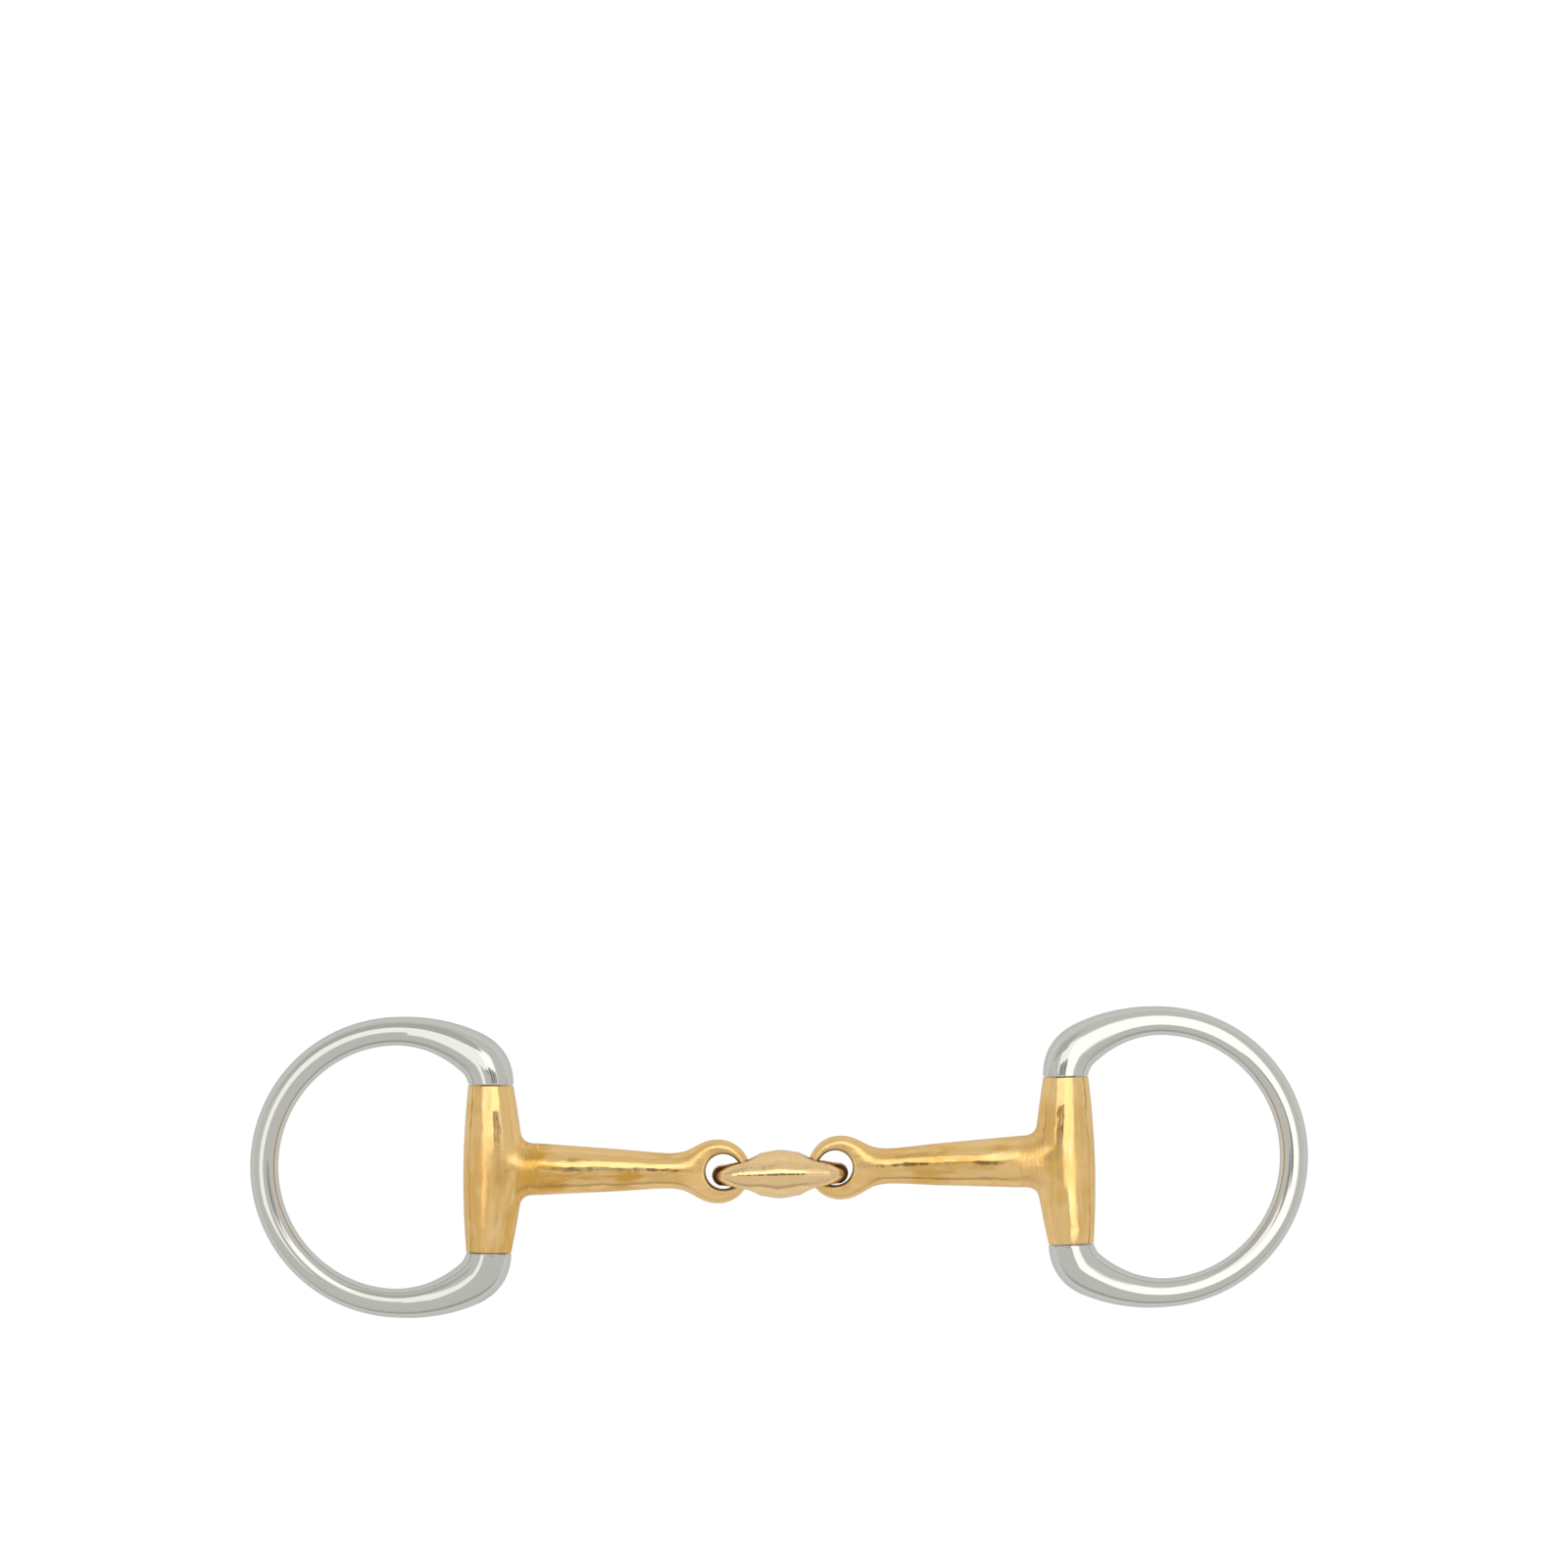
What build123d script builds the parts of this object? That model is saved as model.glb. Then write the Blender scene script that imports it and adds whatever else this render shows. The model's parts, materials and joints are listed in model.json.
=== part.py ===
from build123d import *

import math
import os

# Double-jointed eggbutt snaffle bit, laid flat.
#
# Two bean-shaped rings of polished stainless steel swing on pins through the egg-shaped barrels of a
# brass-coloured mouthpiece. The mouthpiece is two tapered arms, each with a barrel outside and an eye
# inside, joined by an olive-shaped link whose two loops pass through the eyes.
#
# Millimetres. X runs along the mouthpiece, Y along the barrels, Z up from the surface the bit lies on.
# Every piece is first made about its own centre, then laid where it rests.

# Ring: a round bar bent to a circle whose ends turn in to meet the barrel square on.
RING_CENTRE_R = 34.6  # radius of the bar's centre line
RING_CENTRE_X = -23.2  # from the pin axis to the ring circle's centre
CORNER_R = 8.75  # the tighter bend that turns the bar in line with the pin
BUTT_R = 5.75  # radius of the ring's end faces and of the barrel's ends
# Distance from the end face along the centre line, and the bar's radius there.
SHOULDER = [
    (0, BUTT_R),
    (2.4, 5.85),
    (4.8, 5.95),
    (9.5, 5.6),
    (15, 4.9),
    (21, 4.25),
    (28.5, 3.75),
    (38, 3.62),
]
RIM_R = 3.6  # the bar's radius round the far half
RIM_SECTIONS = 9  # loft sections over each side of the far half

# Pin: pressed through both ends of the ring and ground flush with it.
PIN_R = 2.5
PIN_CLEARANCE = 0.05  # radial, in the barrel
END_GAP = 0.18  # between each end of the barrel and the ring
EDGE_BREAK = 0.2  # rounding on the edges that meet at the gap

# Barrel: egg-shaped, fuller towards the mouth.
RING_SIDE_SWELL = 1.0
MOUTH_SIDE_SWELL = 3.1
DEPTH_SWELL = 1.6
MOUTH_SWELL_POWER = 1.3  # near 1 gives the straight flanks beside the arm
BARREL_SECTIONS = 9

# Arm: distance from the pin axis, and the arm's radius there.
ARM_PROFILE = [(0.0, 6.7), (9.0, 6.75), (18.0, 6.25), (34.0, 5.3), (42.0, 4.65), (47.0, 4.45)]
ARM_FILLET = 3.0  # where the arm leaves the barrel

# Eye at the arm's inner end, its hole running up and down.
ARM_LENGTH = 58.1  # from the pin axis to the eye's centre
EYE_R = 8.1
EYE_HOLE_R = 4.6
EYE_HOLE_SHIFT = 1.1  # how far the hole lies off the eye's centre, towards the tip
EYE_HALF_THICK = 3.0
EYE_EDGE = 2.2  # rounding outside
EYE_HOLE_EDGE = 0.9  # rounding round the hole
# Distance before the eye's centre, half width and half thickness of the flare from the arm to the eye.
EYE_FLARE = [(11.1, 4.45, 4.45), (8.6, 5.1, 4.1), (6.2, 5.95, 3.4), (4.2, 6.3, 2.75)]

# Centre link: an olive with a loop at each end, the loops' holes running along Y.
LOOP_SPACING = 20.4
LOOP_R = 7.3
LOOP_HOLE_R = 4.5
LOOP_TIP_WIDTH = 4.9
WEB_WIDTH = 7.3
LOOP_EDGE = 2.3
LOOP_HOLE_EDGE = 0.9
# Distance from the middle, half width and half depth of the olive.
OLIVE = [
    (0, 6.25, 7.1),
    (3.4, 5.95, 7.05),
    (6.6, 5.45, 6.95),
    (9.4, 4.65, 6.7),
    (11.6, 3.7, 6.2),
    (13, 2.8, 5.6),
]
OLIVE_FILLET = 2.0

# How the pieces lie at rest: turns about Z, and each eye's centre from its loop's centre.
LEFT_TURN = -0.7
RIGHT_TURN = 1.9
LINK_TURN = 1.2
LEFT_EYE_FROM_LOOP = (-5.55, 0.9)
RIGHT_EYE_FROM_LOOP = (5.05, 1.45)

BARREL_HALF_DEPTH = BUTT_R + DEPTH_SWELL
CORNER_CENTRE_Y = math.sqrt((RING_CENTRE_R - CORNER_R) ** 2 - (RING_CENTRE_X + CORNER_R) ** 2)
CORNER_ANGLE = math.degrees(math.atan2(CORNER_CENTRE_Y, -CORNER_R - RING_CENTRE_X))
CORNER_LENGTH = math.radians(CORNER_ANGLE) * CORNER_R
BARREL_HALF_LENGTH = CORNER_CENTRE_Y - END_GAP
RIM_REACH = RING_CENTRE_R - RING_CENTRE_X
RIM_DROOP = math.degrees(math.asin((BARREL_HALF_DEPTH - RIM_R) / RIM_REACH))


def ring_plane(distance):
    """The plane square to the bar's centre line, that far from the upper end face."""
    if distance <= CORNER_LENGTH:
        centre = Vector(-CORNER_R, CORNER_CENTRE_Y)
        radius = CORNER_R
        angle = distance / CORNER_R
    else:
        centre = Vector(RING_CENTRE_X, 0)
        radius = RING_CENTRE_R
        angle = math.radians(CORNER_ANGLE) + (distance - CORNER_LENGTH) / RING_CENTRE_R
    outward = Vector(math.cos(angle), math.sin(angle))
    return Plane(origin=centre + outward * radius, x_dir=outward, z_dir=(-outward.Y, outward.X, 0))


def ring_blank():
    """The ring before it is drilled, with its two end faces square to the pin."""
    half_length = CORNER_LENGTH + math.radians(180 - CORNER_ANGLE) * RING_CENTRE_R
    last = SHOULDER[-1][0]
    step = (half_length - last) / RIM_SECTIONS
    upper = SHOULDER + [(last + step * i, RIM_R) for i in range(1, RIM_SECTIONS + 1)]
    sections = [ring_plane(distance) * Circle(radius) for distance, radius in upper]
    lower = [mirror(section, about=Plane.XZ) for section in reversed(sections[:-1])]
    ring = loft(sections + lower)
    return fillet(ring.faces().filter_by(Axis.Y).edges(), EDGE_BREAK)


def pin_bar():
    length = 2 * (RING_CENTRE_R + BUTT_R)
    return Rot(90, 0, 0) * Cylinder(PIN_R, length)


def ring_and_pin():
    """The drilled ring, and the pin whose ends follow the ring's outer surface."""
    blank = ring_blank()
    between = Box(2 * BUTT_R, 2 * CORNER_CENTRE_Y, 2 * BUTT_R)
    ring = blank - pin_bar()
    pin = pin_bar() & (blank + between)
    return ring, pin


def barrel():
    sections = []
    for i in range(BARREL_SECTIONS):
        t = -math.cos(math.pi * i / (BARREL_SECTIONS - 1))
        ring_side = BUTT_R + RING_SIDE_SWELL * (1 - t * t)
        mouth_side = BUTT_R + MOUTH_SIDE_SWELL * (1 - abs(t) ** MOUTH_SWELL_POWER)
        depth = BUTT_R + DEPTH_SWELL * (1 - t * t)
        middle = (mouth_side - ring_side) / 2
        plane = Plane(origin=(middle, t * BARREL_HALF_LENGTH, 0), x_dir=(1, 0, 0), z_dir=(0, 1, 0))
        sections.append(plane * Ellipse((mouth_side + ring_side) / 2, depth))
    return loft(sections)


def arm_bar():
    """The round tapered arm, from inside the barrel to the narrow neck."""
    neck = ARM_PROFILE[-1]
    outline = Spline([Vector(x, r) for x, r in ARM_PROFILE])
    sides = Polyline((neck[0], neck[1]), (neck[0], 0), (0, 0), (0, ARM_PROFILE[0][1]))
    return revolve(make_face([outline, sides]), Axis.X)


def eye_blank():
    disc = Cylinder(EYE_R, 2 * EYE_HALF_THICK)
    disc = fillet(disc.edges().filter_by(GeomType.CIRCLE), EYE_EDGE)
    return Pos(ARM_LENGTH, 0, 0) * disc


def eye_flare():
    sections = [
        Plane(origin=(ARM_LENGTH - back, 0, 0), x_dir=(0, 1, 0), z_dir=(1, 0, 0)) * Ellipse(wide, deep)
        for back, wide, deep in EYE_FLARE
    ]
    return loft(sections)


def joins_arm_and_barrel(edge):
    box = edge.bounding_box()
    near_the_arm = max(-box.min.Y, box.max.Y) < 9
    return near_the_arm and 0 < box.min.X and box.max.X < 14


def cannon():
    """One arm of the mouthpiece: barrel, arm and eye in one casting."""
    body = barrel() + arm_bar() + eye_flare() + eye_blank()
    body = fillet(body.edges().filter_by(joins_arm_and_barrel), ARM_FILLET)
    body = body - Pos(ARM_LENGTH + EYE_HOLE_SHIFT, 0, 0) * Cylinder(EYE_HOLE_R, 4 * EYE_HALF_THICK)
    rim = body.edges().filter_by(GeomType.CIRCLE)
    rim = rim.filter_by(lambda e: abs(e.radius - EYE_HOLE_R) < 1e-3)
    body = fillet(rim, EYE_HOLE_EDGE)
    return body - Rot(90, 0, 0) * Cylinder(PIN_R + PIN_CLEARANCE, 3 * BARREL_HALF_LENGTH)


def olive():
    half = [(x, wide, deep) for x, wide, deep in OLIVE]
    stations = [(-x, wide, deep) for x, wide, deep in reversed(half[1:])] + half
    sections = [
        Plane(origin=(x, 0, 0), x_dir=(0, 1, 0), z_dir=(1, 0, 0)) * Ellipse(wide, deep)
        for x, wide, deep in stations
    ]
    return loft(sections)


def loop_plate():
    """The two loops and the web between them: a slot seen from the front, bowed seen from above."""
    slot = Plane.XZ * SlotCenterToCenter(LOOP_SPACING, 2 * LOOP_R)
    reach = LOOP_SPACING / 2 + LOOP_R
    upper = ThreePointArc((-reach, LOOP_TIP_WIDTH / 2), (0, WEB_WIDTH / 2), (reach, LOOP_TIP_WIDTH / 2))
    lower = mirror(upper, about=Plane.XZ)
    ends = [Line(upper @ i, lower @ i) for i in (0, 1)]
    seen_from_above = make_face([upper, lower] + ends)
    plate = extrude(slot, WEB_WIDTH, both=True) & extrude(seen_from_above, LOOP_R, both=True)
    sides = plate.faces().filter_by(lambda f: abs(f.center().Y) > LOOP_TIP_WIDTH / 2)
    return fillet(sides.edges(), LOOP_EDGE)


def beside_the_olive(edge):
    inner = abs(edge.bounding_box().center().X) < LOOP_SPACING / 2 - 1
    return inner and edge.geom_type == GeomType.BSPLINE


def lines_a_loop(face):
    return face.geom_type == GeomType.CYLINDER and abs(face.radius - LOOP_HOLE_R) < 1e-3


def centre_link():
    """The olive with a loop at each end."""
    link = loop_plate() + olive()
    link = fillet(link.edges().filter_by(beside_the_olive), OLIVE_FILLET)
    for side in (-1, 1):
        link = link - Pos(side * LOOP_SPACING / 2, 0, 0) * Rot(90, 0, 0) * Cylinder(LOOP_HOLE_R, 4 * LOOP_R)
    rims = link.faces().filter_by(lines_a_loop).edges().filter_by(lambda e: e.geom_type != GeomType.LINE)
    return fillet(rims, LOOP_HOLE_EDGE)


def lay_out():
    """Every piece where it rests, and the joints' points, as {name: shape} and {name: point}."""
    arm = cannon()
    ring, pin = ring_and_pin()
    link_place = Pos(0, 0, LOOP_R) * Rot(0, 0, LINK_TURN)
    pieces = {"centre_link": link_place * centre_link()}
    points = {}
    sides = (
        ("left", -1, LEFT_TURN, LEFT_EYE_FROM_LOOP),
        ("right", 1, 180 + RIGHT_TURN, RIGHT_EYE_FROM_LOOP),
    )
    for side, sign, turn, eye_from_loop in sides:
        loop = (link_place * Pos(sign * LOOP_SPACING / 2, 0, 0)).position
        eye = Vector(loop.X + eye_from_loop[0], loop.Y + eye_from_loop[1], BARREL_HALF_DEPTH)
        arm_place = Pos(eye) * Rot(0, 0, turn) * Pos(-ARM_LENGTH, 0, 0)
        ring_place = arm_place * Rot(0, -RIM_DROOP, 0)
        pieces[side + "_cannon"] = arm_place * arm
        pieces[side + "_ring"] = ring_place * ring
        pieces[side + "_hinge_pin"] = ring_place * pin
        points[side + "_loop"] = loop
        points[side + "_pin"] = arm_place.position
    boxes = [shape.bounding_box() for shape in pieces.values()]
    box = boxes[0]
    for other in boxes[1:]:
        box = box.add(other)
    to_ground = Pos(-box.center().X, -box.center().Y, -box.min.Z)
    pieces = {name: to_ground * shape for name, shape in pieces.items()}
    points = {name: (to_ground * Pos(point)).position for name, point in points.items()}
    return pieces, points


def main():
    os.makedirs("parts", exist_ok=True)
    pieces, points = lay_out()
    for name, shape in pieces.items():
        export_step(shape, f"parts/{name}.step")
    for name, point in points.items():
        print(name, [round(value, 3) for value in point])


main()
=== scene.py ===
import itertools
import json
import math

import bmesh
import bpy
import numpy as np
from mathutils import Matrix, Vector


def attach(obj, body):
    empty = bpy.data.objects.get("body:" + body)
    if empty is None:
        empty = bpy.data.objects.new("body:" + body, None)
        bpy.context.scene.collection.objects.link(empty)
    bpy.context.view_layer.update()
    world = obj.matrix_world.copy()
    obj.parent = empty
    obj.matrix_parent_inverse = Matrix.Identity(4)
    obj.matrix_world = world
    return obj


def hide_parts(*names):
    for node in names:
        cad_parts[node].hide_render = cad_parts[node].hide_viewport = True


# The looks of a double-jointed eggbutt snaffle bit: polished steel rings on a brass-coloured mouthpiece.
#
# Shapes are worked out in millimetres, each in its own frame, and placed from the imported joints. An arm's
# frame has its origin on the pin, +X towards the mouth and +Y along the barrel. A ring's is the same one,
# drooping to the floor. The link's has its origin midway between its loops, +X towards the right.

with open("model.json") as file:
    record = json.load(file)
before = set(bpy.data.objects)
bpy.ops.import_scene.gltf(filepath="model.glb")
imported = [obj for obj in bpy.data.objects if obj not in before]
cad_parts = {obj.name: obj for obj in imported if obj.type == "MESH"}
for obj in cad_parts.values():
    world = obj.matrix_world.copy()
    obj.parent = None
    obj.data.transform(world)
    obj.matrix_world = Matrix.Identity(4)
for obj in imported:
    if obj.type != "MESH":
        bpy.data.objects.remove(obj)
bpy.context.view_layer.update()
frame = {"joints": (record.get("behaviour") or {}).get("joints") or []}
joints = {joint["name"]: joint for joint in frame["joints"]}

MM = 0.001

# ---------------------------------------------------------------------------------------------- sizes

# Ring: a round bar, a tight bend at each end and one large bend between them.
RING_BEND = 34.6  # radius of the bar's centre line
RING_CENTRE_X = -23.2
CORNER_BEND = 8.75
BUTT_R = 5.75  # the bar's radius where it meets the barrel
SHOULDER = (
    (0, BUTT_R),
    (2.4, 5.85),
    (4.8, 5.95),
    (9.5, 5.6),
    (15, 4.9),
    (21, 4.22),
    (28.5, 3.68),
    (38, 3.6),
)  # distance along the bar, and its radius there
RIM_R = 3.6
RING_STEP = 0.55  # between the rings of vertices along the bar
RING_SIDES = 72
EDGE_BREAK = 0.2  # rounding of the edges at the joint between ring and barrel
END_GAP = 0.18  # between the ring's end faces and the barrel's

PIN_R = 2.5
PIN_SIDES = 64
PIN_EDGE = 0.12  # rounding of its ends
BORE_GAP = 0.03  # the hairline round the pin's ends
BORE_LENGTH = 90
BARREL_BORE_GAP = 0.05

# Barrel: how far its middle bulges past its ends, on the ring's side, on the mouth's side and in depth.
RING_SIDE_SWELL = 1.0
MOUTH_SIDE_SWELL = 3.1
MOUTH_SWELL_POWER = 1.3
DEPTH_SWELL = 1.59

# Arm, as distance from the pin, half width and half depth. Inside the barrel it is kept below the
# barrel's surface, and its last stations flare into the eye.
ARM = (
    (0, 3.4, 3.4),
    (3, 4.2, 4.2),
    (6, 5.6, 5.6),
    (9, 6.55, 6.55),
    (12, 6.6, 6.6),
    (18, 6.25, 6.25),
    (26, 5.78, 5.78),
    (34, 5.3, 5.3),
    (42, 4.65, 4.65),
    (46, 4.42, 4.42),
    (48.5, 4.7, 4.25),
    (51, 5.4, 3.75),
    (53.5, 6.2, 3.0),
    (56, 6.6, 2.5),
)
ARM_END = 55.5
BARREL_BLEND = 3.4  # size of the soft corner where arm and barrel meet
ARM_LENGTH = 58.1  # from the pin to the eye's centre
EYE_R = 8.1
EYE_HALF_THICK = 3.0
EYE_EDGE = 2.2
EYE_HOLE_R = 4.5
EYE_HOLE_SHIFT = 1.25  # how far the hole lies off the eye's centre, towards the tip
EYE_HOLE_BLEND = 1.0
EYE_BLEND = 2.2  # size of the soft corner where arm and eye meet

# Link: a lens that is thickest in the middle, with a hole through each end.
LOOP_SPACING = 20.4
LOOP_R = 7.3
LOOP_HOLE_R = 4.5
LOOP_HOLE_BLEND = 1.1
LENS = (
    (0, 6.3),
    (1.7, 6.15),
    (3.4, 5.8),
    (5.2, 5.45),
    (6.8, 5.6),
    (8.1, 5.55),
    (10.2, 5.25),
    (13, 4.45),
    (15.4, 4.15),
    (16.5, 5.2),
    (17.5, 5.8),
)  # distance from the middle, and the lens's half width there
LENS_POWER = 1.72  # below 2, the section has a ridge along its crest
RIDGE_R = 0.9  # how round the ridge is

CELL = 0.45  # spacing of the grid that the arms and the link are meshed on

CORNER_Y = math.sqrt((RING_BEND - CORNER_BEND) ** 2 - (RING_CENTRE_X + CORNER_BEND) ** 2)
CORNER_TURN = math.atan2(CORNER_Y, -CORNER_BEND - RING_CENTRE_X)
CORNER_LENGTH = CORNER_TURN * CORNER_BEND
BAR_HALF_LENGTH = CORNER_LENGTH + (math.pi - CORNER_TURN) * RING_BEND
BARREL_HALF_LENGTH = CORNER_Y - END_GAP
BARREL_HALF_DEPTH = BUTT_R + DEPTH_SWELL
RIM_DROOP = math.asin((BARREL_HALF_DEPTH - RIM_R) / (RING_BEND - RING_CENTRE_X))


# ---------------------------------------------------------------------------------------------- curves


def smoothed(values, window):
    """Values evened out over a window of samples, keeping the ends' levels."""
    weights = np.hanning(window + 2)[1:-1]
    padded = np.pad(values, window // 2, mode="edge")
    return np.convolve(padded, weights / weights.sum(), mode="valid")[: len(values)]


def profile(stations, x, column=1, step=0.25, window=25):
    """A smooth curve through stations, as its value at each x."""
    places = [station[0] for station in stations]
    values = [station[column] for station in stations]
    fine = np.arange(places[0], places[-1] + step, step)
    return np.interp(x, fine, smoothed(np.interp(fine, places, values), window))


def bar_line():
    """The ring bar's centre line from the upper end face to the far rim: distance, x, y and heading.

    The change of bend is eased, and the little by which that misses the far rim is shared out along it.
    """
    step = 0.05
    along = np.arange(0, BAR_HALF_LENGTH + step, step)
    bend = np.where(along < CORNER_LENGTH, 1 / CORNER_BEND, 1 / RING_BEND)
    bend = smoothed(bend, window=101)
    heading = math.pi / 2 + np.concatenate(([0], np.cumsum((bend[1:] + bend[:-1]) / 2 * step)))
    x = np.concatenate(([0], np.cumsum(np.cos(heading[:-1]) * step)))
    y = CORNER_Y + np.concatenate(([0], np.cumsum(np.sin(heading[:-1]) * step)))
    miss = np.interp(BAR_HALF_LENGTH, along, y)
    return along, x, y - miss * along / BAR_HALF_LENGTH, heading


def bar_radius(distance):
    """The bar's radius at a distance from its nearer end face."""
    stations = SHOULDER + ((60, RIM_R), (BAR_HALF_LENGTH + 5, RIM_R))
    return profile(stations, distance)


# ---------------------------------------------------------------------------------------------- meshes


def new_mesh(name, points, faces, normals=None):
    mesh = bpy.data.meshes.new(name)
    mesh.from_pydata((np.asarray(points) * MM).tolist(), [], faces)
    mesh.update()
    mesh.polygons.foreach_set("use_smooth", [True] * len(mesh.polygons))
    if normals is not None:
        mesh.normals_split_custom_set_from_vertices(normals.tolist())
    return mesh


def new_piece(name, mesh, place):
    """An object whose mesh is moved to its place, keeping its own millimetres as the attribute "own"."""
    own = mesh.attributes.new("own", "FLOAT_VECTOR", "POINT")
    own.data.foreach_set("vector", vertex_places(mesh).ravel())
    mesh.transform(place)
    piece = bpy.data.objects.new(name, mesh)
    bpy.context.scene.collection.objects.link(piece)
    return piece


def tube(rings):
    """Faces of a closed tube through equal rings of vertices, with a flat face over each end."""
    count, sides = len(rings), len(rings[0])
    faces = []
    for i, j in itertools.product(range(count - 1), range(sides)):
        k = (j + 1) % sides
        faces.append((i * sides + j, i * sides + k, (i + 1) * sides + k, (i + 1) * sides + j))
    faces.append(tuple(reversed(range(sides))))
    faces.append(tuple(range((count - 1) * sides, count * sides)))
    return faces


def round_edge():
    """Rounding of a bar's end: (distance from the end face, how much the radius falls short)."""
    turns = np.linspace(0, math.pi / 2, 5)
    return [(EDGE_BREAK * (1 - math.sin(a)), EDGE_BREAK * (1 - math.cos(a))) for a in reversed(turns)]


def ring_mesh():
    """The ring's bar, drilled for the pin."""
    along, x, y, heading = bar_line()
    half = np.linspace(EDGE_BREAK, BAR_HALF_LENGTH, int(BAR_HALF_LENGTH / RING_STEP))
    ends = [(0, EDGE_BREAK + 0.5)] + round_edge()[:-1]
    stations = [(d, -short) for d, short in ends] + [(d, 0) for d in half]
    upper = [(1, d, extra) for d, extra in stations]
    lower = [(-1, d, extra) for d, extra in reversed(stations[:-1])]
    angles = np.arange(RING_SIDES) * 2 * math.pi / RING_SIDES
    rings = []
    for side, d, extra in upper + lower:
        turn = np.interp(d, along, heading)
        out = np.array([math.sin(turn), -math.cos(turn), 0])
        centre = np.array([np.interp(d, along, x), np.interp(d, along, y), 0])
        radius = float(bar_radius(d)) + extra
        circle = centre + radius * (np.outer(np.cos(angles), out) + np.outer(np.sin(angles), (0, 0, 1)))
        rings.append(circle * (1, side, 1))
    mesh = new_mesh("ring", np.concatenate(rings), tube(rings))
    return drilled(mesh, PIN_R + BORE_GAP)


def drilled(mesh, radius):
    """The mesh with a round hole bored along Y through both of its ends."""
    bore = bpy.data.meshes.new("bore")
    shape = bmesh.new()
    bmesh.ops.create_cone(
        shape,
        cap_ends=True,
        segments=PIN_SIDES,
        radius1=radius * MM,
        radius2=radius * MM,
        depth=BORE_LENGTH * MM,
        matrix=Matrix.Rotation(math.pi / 2, 4, "X"),
    )
    shape.to_mesh(bore)
    shape.free()
    cutter = new_piece("bore", bore, Matrix.Identity(4))
    blank = new_piece("blank", mesh, Matrix.Identity(4))
    cut = blank.modifiers.new("bore", "BOOLEAN")
    cut.operation = "DIFFERENCE"
    cut.solver = "EXACT"
    cut.object = cutter
    result = bpy.data.meshes.new_from_object(blank.evaluated_get(bpy.context.evaluated_depsgraph_get()))
    bpy.data.objects.remove(cutter)
    bpy.data.objects.remove(blank)
    result.polygons.foreach_set("use_smooth", [True] * len(result.polygons))
    result.set_sharp_from_angle(angle=math.radians(35))
    return result


def bar_top(x, z):
    """How far up Y the ring bar's outer surface is over each point (x, z) of the pin's section."""
    along, line_x, line_y, _ = bar_line()
    keep = (along < 12) & (np.arange(len(along)) % 4 == 0)
    radius = bar_radius(along[keep])
    low, high = np.full(x.shape, CORNER_Y), np.full(x.shape, CORNER_Y + 20)
    for _ in range(30):
        middle = (low + high) / 2
        away = np.hypot(x[:, None] - line_x[keep], middle[:, None] - line_y[keep])
        inside = (np.hypot(away, z[:, None]) - radius).min(1) < 0
        low, high = np.where(inside, middle, low), np.where(inside, high, middle)
    return low


def pin_mesh():
    """The hinge pin, its ends dressed to the ring's outer surface."""
    angles = np.arange(PIN_SIDES) * 2 * math.pi / PIN_SIDES
    radii = [(PIN_R * share, 0) for share in (0.2, 0.5, 0.8)] + [
        (PIN_R - PIN_EDGE + PIN_EDGE * math.sin(a), PIN_EDGE * (1 - math.cos(a)))
        for a in np.linspace(0, math.pi / 2, 5)
    ]
    rings = []
    for end, order in ((-1, radii), (1, radii[::-1])):
        for radius, drop in order:
            x, z = radius * np.cos(angles), -radius * np.sin(angles)
            rings.append(np.stack([x, end * (bar_top(x, z) - drop), z], 1))
    return new_mesh("pin", np.concatenate(rings), tube(rings))


# ------------------------------------------------------------------------------------ solids as fields


def soft_min(a, b, size):
    """The union of two solids, given as fields that are negative inside, with a soft corner."""
    share = np.maximum(size - np.abs(a - b), 0) / size
    return np.minimum(a, b) - share**2 * size / 4


def soft_max(a, b, size):
    """What two solids share, with a soft corner."""
    return -soft_min(-a, -b, size)


def oval(u, v, half_u, half_v):
    """Roughly the distance from an ellipse."""
    reach = np.hypot(u / half_u, v / half_v)
    slope = np.hypot(u / half_u**2, v / half_v**2)
    return (reach - 1) * reach / np.maximum(slope, 1e-3)


def arm_field(p):
    """The arm in its own frame: barrel, bar and eye, less the eye's hole and the pin's bore."""
    x, y, z = p[..., 0], p[..., 1], p[..., 2]
    t = np.abs(y) / BARREL_HALF_LENGTH
    ring_side = BUTT_R + RING_SIDE_SWELL * (1 - t**2)
    mouth_side = BUTT_R + MOUTH_SIDE_SWELL * (1 - np.hypot(t, 0.05) ** MOUTH_SWELL_POWER)
    depth = BUTT_R + DEPTH_SWELL * (1 - t**2)
    middle = (mouth_side - ring_side) / 2
    barrel = oval(x - middle, z, (mouth_side + ring_side) / 2, depth)
    bar = oval(y, z, profile(ARM, x, 1), profile(ARM, x, 2))
    bar = soft_max(soft_max(bar, x - ARM_END, 1.0), -x, 1.0)
    body = soft_min(barrel, bar, BARREL_BLEND)
    out = np.hypot(x - ARM_LENGTH, y)
    rim = out - (EYE_R - EYE_EDGE)
    face = np.abs(z) - (EYE_HALF_THICK - EYE_EDGE)
    outside = np.hypot(np.maximum(rim, 0), np.maximum(face, 0))
    eye = outside + np.minimum(np.maximum(rim, face), 0) - EYE_EDGE
    body = soft_min(body, eye, EYE_BLEND)
    body = soft_max(body, EYE_HOLE_R - np.hypot(x - ARM_LENGTH - EYE_HOLE_SHIFT, y), EYE_HOLE_BLEND)
    return np.maximum(body, PIN_R + BARREL_BORE_GAP - np.hypot(x, z))


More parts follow.
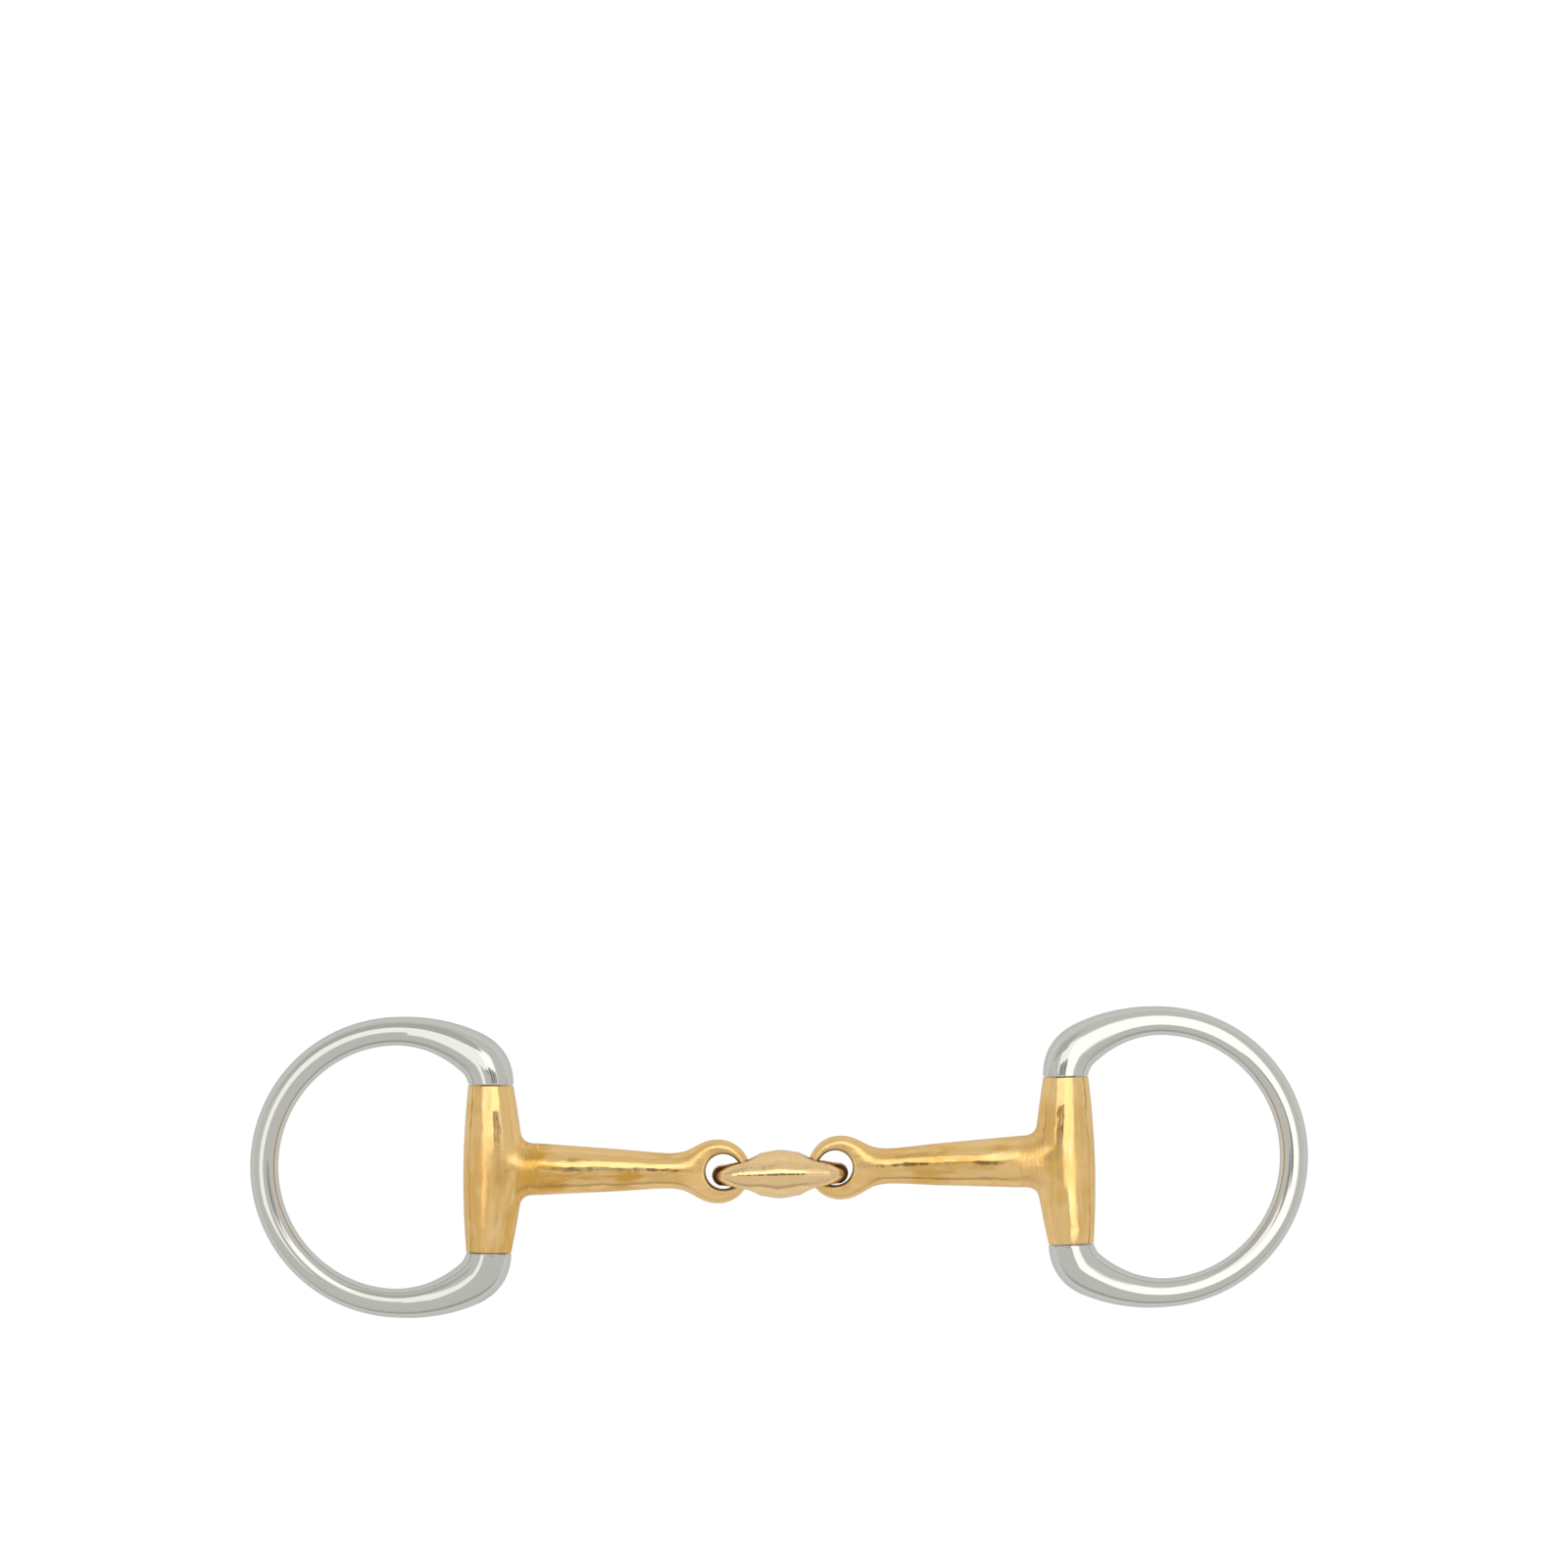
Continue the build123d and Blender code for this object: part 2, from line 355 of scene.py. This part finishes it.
def link_field(p):
    """The link in its own frame: a lens on a slot-shaped outline, less its two holes."""
    x, y, z = p[..., 0], p[..., 1], p[..., 2]
    out = np.hypot(np.maximum(np.abs(x) - LOOP_SPACING / 2, 0), z)
    share = np.clip(out / LOOP_R, 0, 2)
    both_ways = tuple((-far, wide) for far, wide in LENS[:0:-1]) + LENS
    half = profile(both_ways, x, window=17)
    reach = (share**LENS_POWER + (np.hypot(y, RIDGE_R) / half) ** LENS_POWER) ** (1 / LENS_POWER)
    slope_y, slope_z = y / half**2, share / LOOP_R
    body = (reach - 1) / np.maximum(np.hypot(slope_y, slope_z), 0.1)
    hole = LOOP_HOLE_R - np.hypot(np.abs(x) - LOOP_SPACING / 2, z)
    return soft_max(body, hole, LOOP_HOLE_BLEND)


def slopes(field, p):
    """The field's gradient at each point."""
    step = 0.01
    parts = [(field(p + step * axis) - field(p - step * axis)) / (2 * step) for axis in np.eye(3)]
    return np.stack(parts, -1)


def onto_surface(field, p, rounds=4):
    """The points moved to where the field is 0."""
    for _ in range(rounds):
        slope = slopes(field, p)
        length = np.maximum((slope**2).sum(-1), 0.05)
        p = p - slope * (field(p) / length)[:, None]
    return p


def net_faces(inside, index):
    """The four cells round each grid edge that crosses the surface, wound to face outward."""
    found = []
    for axis in range(3):
        turned = [axis, (axis + 1) % 3, (axis + 2) % 3]
        solid, cells = inside.transpose(turned), index.transpose(turned)
        i, j, k = np.nonzero(solid[:-1, 1:-1, 1:-1] != solid[1:, 1:-1, 1:-1])
        quad = np.stack([cells[i, j, k], cells[i, j + 1, k], cells[i, j + 1, k + 1], cells[i, j, k + 1]], 1)
        leaving = solid[:-1, 1:-1, 1:-1][i, j, k]
        found.append(np.where(leaving[:, None], quad, quad[:, ::-1]))
    return np.concatenate(found)


def relaxed(field, points, faces, rounds=6):
    """The points evened out along the surface."""
    pairs = np.concatenate([faces[:, [a, (a + 1) % 4]] for a in range(4)])
    count = np.bincount(pairs.ravel(), minlength=len(points))
    for _ in range(rounds):
        total = np.zeros_like(points)
        np.add.at(total, pairs[:, 0], points[pairs[:, 1]])
        np.add.at(total, pairs[:, 1], points[pairs[:, 0]])
        points = onto_surface(field, (points + total / count[:, None]) / 2, rounds=2)
    return points


def net(field, low, high):
    """A mesh of quads on the surface of the field's solid, within a box."""
    axes = [np.arange(lo, hi + CELL, CELL) for lo, hi in zip(low, high)]
    grid = np.stack(np.meshgrid(*axes, indexing="ij"), -1)
    inside = field(grid) < 0
    ends = np.array(inside.shape) - 1
    filled = sum(
        inside[i : ends[0] + i, j : ends[1] + j, k : ends[2] + k].astype(int)
        for i, j, k in itertools.product((0, 1), repeat=3)
    )
    mixed = (filled > 0) & (filled < 8)
    index = np.full(mixed.shape, -1)
    index[mixed] = np.arange(mixed.sum())
    points = grid[:-1, :-1, :-1][mixed] + CELL / 2
    faces = net_faces(inside, index)
    points = relaxed(field, onto_surface(field, points), faces)
    return points, faces


def capped(points, faces):
    """The arm's net cut square at the barrel's ends, with rounded edges and a flat face round the bore."""
    shape = bmesh.new()
    corners = [shape.verts.new(point) for point in points]
    for face in faces.tolist():
        shape.faces.new([corners[i] for i in face])
    for side in (-1, 1):
        whole = shape.verts[:] + shape.edges[:] + shape.faces[:]
        end = (0, side * (BARREL_HALF_LENGTH - EDGE_BREAK), 0)
        outward = (0, side, 0)
        bmesh.ops.bisect_plane(
            shape, geom=whole, plane_co=end, plane_no=outward, clear_outer=True, dist=1e-6
        )
    for side in (-1, 1):
        open_edges = [e for e in shape.edges if e.is_boundary and e.verts[0].co.y * side > 0]
        bore = [e for e in open_edges if all(math.hypot(v.co.x, v.co.z) < PIN_R + 1 for v in e.verts)]
        rim = [e for e in open_edges if e not in bore]
        for distance, short in round_edge()[::-1][1:] + [(0, EDGE_BREAK + 0.5)]:
            made = bmesh.ops.extrude_edge_only(shape, edges=rim)["geom"]
            for vert in (v for v in made if isinstance(v, bmesh.types.BMVert)):
                scale = (BUTT_R - short) / max(math.hypot(vert.co.x, vert.co.z), 1)
                vert.co = (vert.co.x * scale, side * (BARREL_HALF_LENGTH - distance), vert.co.z * scale)
            rim = [e for e in made if isinstance(e, bmesh.types.BMEdge) and e.is_boundary]
        made = bmesh.ops.extrude_edge_only(shape, edges=bore)["geom"]
        for vert in (v for v in made if isinstance(v, bmesh.types.BMVert)):
            vert.co.y = side * BARREL_HALF_LENGTH
        bore = [e for e in made if isinstance(e, bmesh.types.BMEdge) and e.is_boundary]
        bmesh.ops.bridge_loops(shape, edges=rim + bore)
    bmesh.ops.recalc_face_normals(shape, faces=shape.faces)
    mesh = bpy.data.meshes.new("arm")
    shape.to_mesh(mesh)
    shape.free()
    return mesh


def field_normals(field, points):
    slope = slopes(field, points)
    return slope / np.linalg.norm(slope, axis=1)[:, None]


def arm_mesh():
    reach = BARREL_HALF_LENGTH + 2 * CELL
    points, faces = net(arm_field, (-9, -reach, -9), (ARM_LENGTH + EYE_R + 1, reach, 9))
    mesh = capped(points, faces)
    places = np.array([v.co for v in mesh.vertices])
    normals = field_normals(arm_field, places)
    # Over the rounded edges and the end faces, the normals turn to face along the barrel.
    at_end = np.abs(places[:, 1]) > BARREL_HALF_LENGTH - EDGE_BREAK * 0.99
    toward = np.clip((np.abs(places[:, 1]) - BARREL_HALF_LENGTH + EDGE_BREAK) / EDGE_BREAK, 0, 1)
    outward = places * (1 - toward)[:, None]
    outward[:, 1] = np.sign(places[:, 1]) * toward * BUTT_R
    outward /= np.maximum(np.linalg.norm(outward, axis=1), 1e-6)[:, None]
    normals[at_end] = outward[at_end]
    mesh.transform(Matrix.Scale(MM, 4))
    mesh.polygons.foreach_set("use_smooth", [True] * len(mesh.polygons))
    mesh.normals_split_custom_set_from_vertices(normals.tolist())
    return mesh


def link_mesh():
    reach = LOOP_SPACING / 2 + LOOP_R + 1
    points, faces = net(link_field, (-reach, -8, -9), (reach, 8, 9))
    return new_mesh("link", points, faces.tolist(), field_normals(link_field, points))


# ------------------------------------------------------------------------------------------- materials

BRASS_TAN = (0.79, 0.54, 0.235, 1)
BRASS_AMBER = (0.62, 0.345, 0.065, 1)
BRASS_PALE = (0.83, 0.64, 0.41, 1)
BRASS_DEEP = (0.62, 0.37, 0.12, 1)
# Painted shade: the dark brown laid into the eye's hole, the link's loops and the link's tips.
PAINTED_SHADE_BROWN = (0.17, 0.09, 0.035, 1)
STEEL_LIGHT = (0.57, 0.575, 0.545, 1)
STEEL_DULL = (0.5, 0.505, 0.48, 1)
STEEL_DARK = (0.42, 0.42, 0.41, 1)
DULL, BRIGHT = 0.27, 0.06  # roughness of brass where it is never rubbed, and where it is polished
GLANCE = (0.8, 0.78, 0.75, 1)  # tint of the reflection at grazing angles

# Noise scales, per millimetre. Brass has the casting's waves, patches of wear, streaks and scratches of
# rubbing, and fine grain; steel has smudges, shallow dents, and coarse and fine marks of polishing.
WAVES, PATCHES, STREAKS, SCRATCHES, GRAIN = 0.16, 0.07, 0.48, 0.69, 2.4
SMUDGES, DENTS, STROKES, MARKS = 0.12, 0.14, 1.3, 5.0
DRAWN = 6  # how many times longer a streak is than it is wide
ROUND = 1.5  # millimetres that a radian round the ring counts as, so that the polishing marks run long


class Graph:
    """A node tree, its usual nodes as calls. An input is a number, a colour or another node's output."""

    def __init__(self, tree):
        self.tree = tree

    def node(self, kind, inputs, **settings):
        node = self.tree.nodes.new("ShaderNode" + kind)
        for name, value in settings.items():
            setattr(node, name, value)
        for socket, value in inputs.items():
            self.feed(node.inputs[socket], value)
        return node

    def feed(self, socket, value):
        if isinstance(value, bpy.types.NodeSocket):
            self.tree.links.new(value, socket)
        else:
            socket.default_value = value

    def math(self, operation, first, second=0.0):
        return self.node("Math", {0: first, 1: second}, operation=operation).outputs[0]

    def vector(self, operation, first, second):
        return self.node("VectorMath", {0: first, 1: second}, operation=operation).outputs[0]

    def ramp(self, value, start, end, low=0.0, high=1.0):
        numbers = {"Value": value, "From Min": start, "From Max": end, "To Min": low, "To Max": high}
        return self.node("MapRange", numbers, interpolation_type="SMOOTHSTEP").outputs["Result"]

    def noise(self, vector, scale, detail):
        return self.node("TexNoise", {"Vector": vector, "Scale": scale, "Detail": detail}).outputs["Fac"]

    def mix(self, share, first, second):
        return self.node("Mix", {0: share, 6: first, 7: second}, data_type="RGBA").outputs[2]

    def attribute(self, name):
        return self.node("Attribute", {}, attribute_name=name)

    def bump(self, height, depth, under=None):
        """Relief of a height from 0 to 1, its depth in millimetres, over another relief."""
        inputs = {"Height": height, "Distance": depth * MM}
        if under is not None:
            inputs["Normal"] = under
        return self.node("Bump", inputs).outputs["Normal"]


def new_metal(name):
    material = bpy.data.materials.new(name)
    material.use_nodes = True
    shader = material.node_tree.nodes["Principled BSDF"]
    shader.inputs["Metallic"].default_value = 1
    shader.inputs["Specular Tint"].default_value = GLANCE
    return material, shader, Graph(material.node_tree)


def brass(name, seed, tarnish, pale, waviness):
    """Handled brass: tan, with amber tarnish, paler rubbed places, and brown painted shade in the holes
    where parts rub and on the link's tips.

    Tarnish is the largest share of the amber and pale the least of the paler colour. Waviness is the
    depth in millimetres of the unevenness that the casting was polished to.
    """
    material, shader, graph = new_metal(name)
    place = graph.attribute("own").outputs["Vector"]
    own = graph.vector("ADD", place, (37.0 * seed, 11.0 * seed, 5.0 * seed))
    in_barrel = graph.ramp(graph.node("SeparateXYZ", {0: place}).outputs["X"], 6, 13, 1, 0)
    along_arm = graph.vector("MULTIPLY", own, (1 / DRAWN, 1, 1))
    along_barrel = graph.vector("MULTIPLY", own, (1, 1 / DRAWN, 1))
    drawn_out = graph.mix(in_barrel, along_arm, along_barrel)
    patches = graph.noise(own, PATCHES, 3)
    streaks = graph.noise(drawn_out, STREAKS, 3)
    grain = graph.noise(own, GRAIN, 2)
    worn = graph.math("MULTIPLY", patches, 0.55)
    stained = graph.math("ADD", worn, graph.math("MULTIPLY", streaks, 0.45))
    stained = graph.ramp(stained, 0.43, 0.57, 0.12, 1)
    stained = graph.math("MULTIPLY", stained, graph.attribute("handled").outputs["Fac"])
    colour = graph.mix(graph.math("MULTIPLY", stained, tarnish), BRASS_TAN, BRASS_AMBER)
    rubbed = graph.ramp(graph.noise(drawn_out, SCRATCHES, 2), 0.5, 0.75, pale, pale + 0.45)
    colour = graph.mix(rubbed, colour, BRASS_PALE)
    colour = graph.mix(graph.ramp(grain, 0.35, 0.75, 0, 0.16), colour, BRASS_DEEP)
    # Painted shade: the colour is darkened towards brown where the painted attribute marks the holes and
    # tips.
    painted_shade = graph.attribute("painted_shade").outputs["Fac"]
    painted_shade = graph.math("MULTIPLY", painted_shade, graph.ramp(grain, 0.2, 0.6, 0.75, 1))
    graph.feed(shader.inputs["Base Color"], graph.mix(painted_shade, colour, PAINTED_SHADE_BROWN))
    polish = graph.attribute("polish").outputs["Fac"]
    polish = graph.math("ADD", polish, graph.ramp(patches, 0.3, 0.7, -0.2, 0.2))
    rough = graph.math("ADD", graph.ramp(polish, 0, 1, DULL, BRIGHT), graph.ramp(grain, 0.3, 0.8, 0, 0.05))
    rough = graph.math("ADD", rough, graph.math("MULTIPLY", painted_shade, 0.3))
    graph.feed(shader.inputs["Roughness"], rough)
    relief = graph.bump(graph.noise(own, WAVES, 1), waviness)
    relief = graph.bump(streaks, 0.08, relief)
    graph.feed(shader.inputs["Normal"], graph.bump(grain, 0.006, relief))
    return material


def steel(name, seed):
    """Polished steel, its fine polishing marks running along the ring's bar, with faint smudges."""
    material, shader, graph = new_metal(name)
    own = graph.attribute("own").outputs["Vector"]
    from_centre = graph.vector("SUBTRACT", own, (RING_CENTRE_X, 0, 0))
    parts = graph.node("SeparateXYZ", {0: from_centre}).outputs
    squares = [graph.math("POWER", parts[i], 2) for i in (0, 1)]
    out = graph.math("SQRT", graph.math("ADD", *squares))
    turn = graph.math("ARCTAN2", parts[1], graph.math("ABSOLUTE", parts[0]))
    turn = graph.math("MULTIPLY", turn, ROUND)
    along = graph.node("CombineXYZ", {0: out, 1: parts[2], 2: turn}).outputs[0]
    marks = graph.noise(along, MARKS, 2)
    strokes = graph.noise(along, STROKES, 2)
    moved = graph.vector("ADD", own, (23.0 * seed, 7.0 * seed, 3.0 * seed))
    smudges = graph.noise(moved, SMUDGES, 3)
    colour = graph.mix(graph.ramp(smudges, 0.35, 0.7), STEEL_LIGHT, STEEL_DULL)
    colour = graph.mix(graph.ramp(marks, 0.5, 0.75, 0, 0.3), colour, STEEL_DARK)
    graph.feed(shader.inputs["Base Color"], colour)
    rough = graph.ramp(smudges, 0.3, 0.7, 0.035, 0.08)
    rough = graph.math("ADD", rough, graph.ramp(marks, 0.4, 0.7, 0, 0.03))
    graph.feed(shader.inputs["Roughness"], rough)
    relief = graph.bump(strokes, 0.012, graph.bump(graph.noise(moved, DENTS, 1), 0.18))
    graph.feed(shader.inputs["Normal"], graph.bump(marks, 0.003, relief))
    return material


def paint(mesh, name, values):
    """A value for each vertex, which the material reads by its name."""
    layer = mesh.attributes.new(name, "FLOAT", "POINT")
    layer.data.foreach_set("value", np.clip(values, 0, 1).astype(np.float32))


def vertex_places(mesh):
    """The mesh's vertices in millimetres."""
    places = np.zeros(len(mesh.vertices) * 3, np.float32)
    mesh.vertices.foreach_get("co", places)
    return places.reshape(-1, 3) / MM


def rise(values, start, end):
    """0 up to start and 1 from end on, even between them; end may lie below start."""
    return np.clip((values - start) / (end - start), 0, 1)


def paint_arm(mesh, dull_end):
    """Painted shade in the eye's hole, tarnish away from it, and polish on arm and barrel.

    The barrel's end on the side of dull_end along Y, if it isn't 0, is left dull.
    """
    x, y, z = vertex_places(mesh).T
    wall = np.hypot(x - ARM_LENGTH - EYE_HOLE_SHIFT, y) - EYE_HOLE_R
    # Painted shade on the eye hole's wall and close round it.
    paint(mesh, "painted_shade", 0.9 * np.exp(-np.maximum(wall, 0) / 0.5) * (np.abs(z) < 3.2))
    paint(mesh, "handled", 0.25 + 0.75 * rise(x, 52, 38) * np.maximum(rise(x, -6, 10), 0.35))
    on_arm = rise(x, 13, 21) * rise(x, 51, 43)
    near_ends = rise(np.abs(y), 3.5, 10.5) * (np.abs(y) > 4)
    on_barrel = np.where(y * dull_end > 0, 0.2, near_ends) * rise(x, 11, 7)
    paint(mesh, "polish", 0.1 + 0.85 * np.maximum(on_arm, on_barrel))


def paint_link(mesh):
    """Painted shade in the loops and on their tips, and polish on the lens."""
    x, _, z = vertex_places(mesh).T
    hole = np.hypot(np.abs(x) - LOOP_SPACING / 2, z) - LOOP_HOLE_R
    tip = rise(np.abs(x), 14.6, 17.2)
    # Painted shade in the loops' holes and over the link's tips.
    paint(mesh, "painted_shade", np.maximum(0.8 * np.exp(-np.maximum(hole, 0) / 0.4), 0.75 * tip))
    paint(mesh, "handled", np.full(len(x), 0.3))
    paint(mesh, "polish", 0.85 - 0.5 * tip)


# --------------------------------------------------------------------------------------------- studio

CAMERA_DISTANCE = 2.0
VIEW_WIDTH = 0.3988  # what the picture spans at that distance
SENSOR = 36
VIEW_CENTRE = Vector((0.00125, 0.09625, 0.0073))

# The light over the table, as the angles from straight up that it fills, and how bright it is.
LIGHT_X = (-36, 36)
LIGHT_Y = (-32, 42)
LIGHT_EDGE = 7  # how softly it fades at its edges
LIGHT = 1.85
FILL = 0.88  # the room around it
NEAR_FILL = 0.68  # the share of it that is left low down on the near side
LIGHT_TINT = (1, 0.99, 0.96, 1)

FLOOR_SIZE = 6
FLOOR_GREY = (0.12, 0.12, 0.12, 1)
FLOOR_GLOW = 0.92
REFLECTED_GLOW = 0.8
REFLECTED_DEPTH = 0.0002  # how far below the floor its reflected copy lies

# Cards over the table, as outlines in metres. The shade keeps the light off the near side of every bar,
# and off all but the crest of the arms, which reflect the dark patches beside it. The veil dims the light
# that the left ring reflects, and the camera's body shows in the metal as a darker place.
CARD_HEIGHT = 0.2
PATCH_HEIGHT = 0.195
VEIL_HEIGHT = 0.95
BODY_HEIGHT = 0.9
SHADE = (
    (-0.6, -0.6),
    (0.6, -0.6),
    (0.6, -0.08),
    (0.09, -0.08),
    (0.08, -0.02),
    (0.062, -0.02),
    (0.055, 0.045),
    (-0.06, 0.045),
    (-0.066, 0.012),
    (-0.155, 0.012),
    (-0.165, -0.055),
    (-0.6, -0.055),
)
FAR_SHADE = ((-0.6, 0.15), (-0.03, 0.15), (-0.03, 0.6), (-0.6, 0.6))
LEFT_VEIL = ((-0.78, -0.6), (-0.07, -0.6), (-0.07, 0.85), (-0.78, 0.85))
CAMERA_BODY = ((-0.2, -0.38), (0.02, -0.38), (0.05, 0.01), (-0.02, 0.03), (-0.19, 0.01))
DARK_PATCHES_X = ((-0.05, -0.03), (-0.026, -0.018), (-0.011, 0.013), (0.03, 0.05))


def add_floor():
    """The floor, and the same floor as the metal reflects it, which is a little darker."""
    for name, depth, glow, reflected in (
        ("floor", 0, FLOOR_GLOW, False),
        ("reflected_floor", REFLECTED_DEPTH, REFLECTED_GLOW, True),
    ):
        bpy.ops.mesh.primitive_plane_add(size=FLOOR_SIZE, location=(0, 0, -depth))
        floor = bpy.context.object
        floor.name = name
        material = bpy.data.materials.new(name)
        material.use_nodes = True
        shader = material.node_tree.nodes["Principled BSDF"]
        shader.inputs["Base Color"].default_value = FLOOR_GREY
        shader.inputs["Roughness"].default_value = 0.9
        shader.inputs["Emission Color"].default_value = (1, 1, 1, 1)
        shader.inputs["Emission Strength"].default_value = glow
        floor.data.materials.append(material)
        floor.visible_glossy = reflected
        floor.visible_camera = not reflected
        floor.visible_diffuse = not reflected


def add_card(name, outline, height, radiance):
    """A flat card over the table, seen only in reflections."""
    mesh = bpy.data.meshes.new(name)
    mesh.from_pydata([(x, y, height) for x, y in outline], [], [tuple(range(len(outline)))])
    material = bpy.data.materials.new(name)
    material.use_nodes = True
    shader = material.node_tree.nodes["Principled BSDF"]
    shader.inputs["Base Color"].default_value = (0, 0, 0, 1)
    shader.inputs["Specular IOR Level"].default_value = 0
    shader.inputs["Emission Color"].default_value = LIGHT_TINT
    shader.inputs["Emission Strength"].default_value = radiance
    mesh.materials.append(material)
    card = bpy.data.objects.new(name, mesh)
    bpy.context.scene.collection.objects.link(card)
    card.visible_camera = False
    card.visible_diffuse = False
    card.visible_shadow = False


def patch(start, end):
    """The outline of a dark patch from start to end in X, its corners cut."""
    return (
        (start, 0.02),
        (start + 0.005, -0.012),
        (end - 0.005, -0.02),
        (end, 0.005),
        (end - 0.004, 0.048),
        (start + 0.004, 0.048),
    )


def add_cards():
    add_card("card", SHADE, CARD_HEIGHT, 0.85)
    add_card("far_card", FAR_SHADE, CARD_HEIGHT, 0.7)
    for start, end in DARK_PATCHES_X:
        add_card("dark_card", patch(start, end), PATCH_HEIGHT, 0.25)
    add_card("veil", LEFT_VEIL, VEIL_HEIGHT, 1.55)
    add_card("camera_body", CAMERA_BODY, BODY_HEIGHT, 0.4)


def add_world():
    """A pale room with one large soft light in its ceiling."""
    world = bpy.data.worlds.new("studio")
    bpy.context.scene.world = world
    world.use_nodes = True
    graph = Graph(world.node_tree)
    direction = graph.node("TexCoord", {}).outputs["Generated"]
    parts = graph.node("SeparateXYZ", {0: direction}).outputs
    soft = math.radians(LIGHT_EDGE)
    window = 1.0
    for part, edges in ((parts["X"], LIGHT_X), (parts["Y"], LIGHT_Y)):
        angle = graph.math("ARCTAN2", part, parts["Z"])
        start, end = (math.radians(edge) for edge in edges)
        window = graph.math("MULTIPLY", graph.ramp(angle, start - soft, start + soft), window)
        window = graph.math("MULTIPLY", graph.ramp(angle, end - soft, end + soft, 1, 0), window)
    light = graph.math("MULTIPLY", window, LIGHT - FILL)
    fill = graph.ramp(parts["Y"], -1, -0.3, FILL * NEAR_FILL, FILL)
    background = world.node_tree.nodes["Background"]
    background.inputs["Color"].default_value = LIGHT_TINT
    graph.feed(background.inputs["Strength"], graph.math("ADD", light, fill))


def add_camera():
    data = bpy.data.cameras.new("camera")
    data.sensor_width = SENSOR
    data.lens = SENSOR * CAMERA_DISTANCE / VIEW_WIDTH
    data.clip_start = 0.01
    camera = bpy.data.objects.new("camera", data)
    bpy.context.scene.collection.objects.link(camera)
    camera.location = VIEW_CENTRE + Vector((0, 0, CAMERA_DISTANCE))
    bpy.context.scene.camera = camera


# ------------------------------------------------------------------------------------------- assembly


def upright(point, along):
    """The frame at a point whose Y axis is the direction along, with Z up."""
    y = Vector(along).normalized()
    x = y.cross(Vector((0, 0, 1)))
    turn = Matrix((x, y, (0, 0, 1))).transposed().to_4x4()
    return Matrix.Translation(Vector(point)) @ turn


ring_shape, pin_shape, arm_shape, link_shape = ring_mesh(), pin_mesh(), arm_mesh(), link_mesh()
paint_link(link_shape)
droop = Matrix.Rotation(-RIM_DROOP, 4, "Y")
for side, seed, tarnish, dull_end in (("left", 1, 1.0, -1), ("right", 4, 0.75, 0)):
    swing = joints[side + "_ring_swing"]
    place = upright(swing["pos_m"], swing["axis"])
    ring_steel = steel(side + "_steel", seed)
    arm_brass = brass(side + "_brass", seed, tarnish, pale=0, waviness=0.3)
    side_shape = arm_shape.copy()
    paint_arm(side_shape, dull_end)
    for part, shape, where, body, finish, slot in (
        ("ring", ring_shape, place @ droop, "ring", ring_steel, "ring_steel"),
        ("hinge_pin", pin_shape, place @ droop, "ring", ring_steel, "ring_steel"),
        ("cannon", side_shape, place, "cannon", arm_brass, "mouthpiece_metal"),
    ):
        piece = new_piece(f"{side}_{part}_finished", shape.copy(), where)
        piece.data.materials.append(finish)
        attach(piece, f"{side}_{body}")
        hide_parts(f"{side}_{part}")

left_eye, right_eye = joints["left_eye"], joints["right_eye"]
middle = (Vector(left_eye["pos_m"]) + Vector(right_eye["pos_m"])) / 2
link = new_piece("centre_link_finished", link_shape, upright(middle, left_eye["axis"]))
link.data.materials.append(brass("link_brass", seed=7, tarnish=0.4, pale=0.35, waviness=0.12))
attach(link, "centre_link")
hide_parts("centre_link")

add_floor()
add_world()
add_cards()
add_camera()
bpy.context.scene.view_settings.view_transform = "Standard"
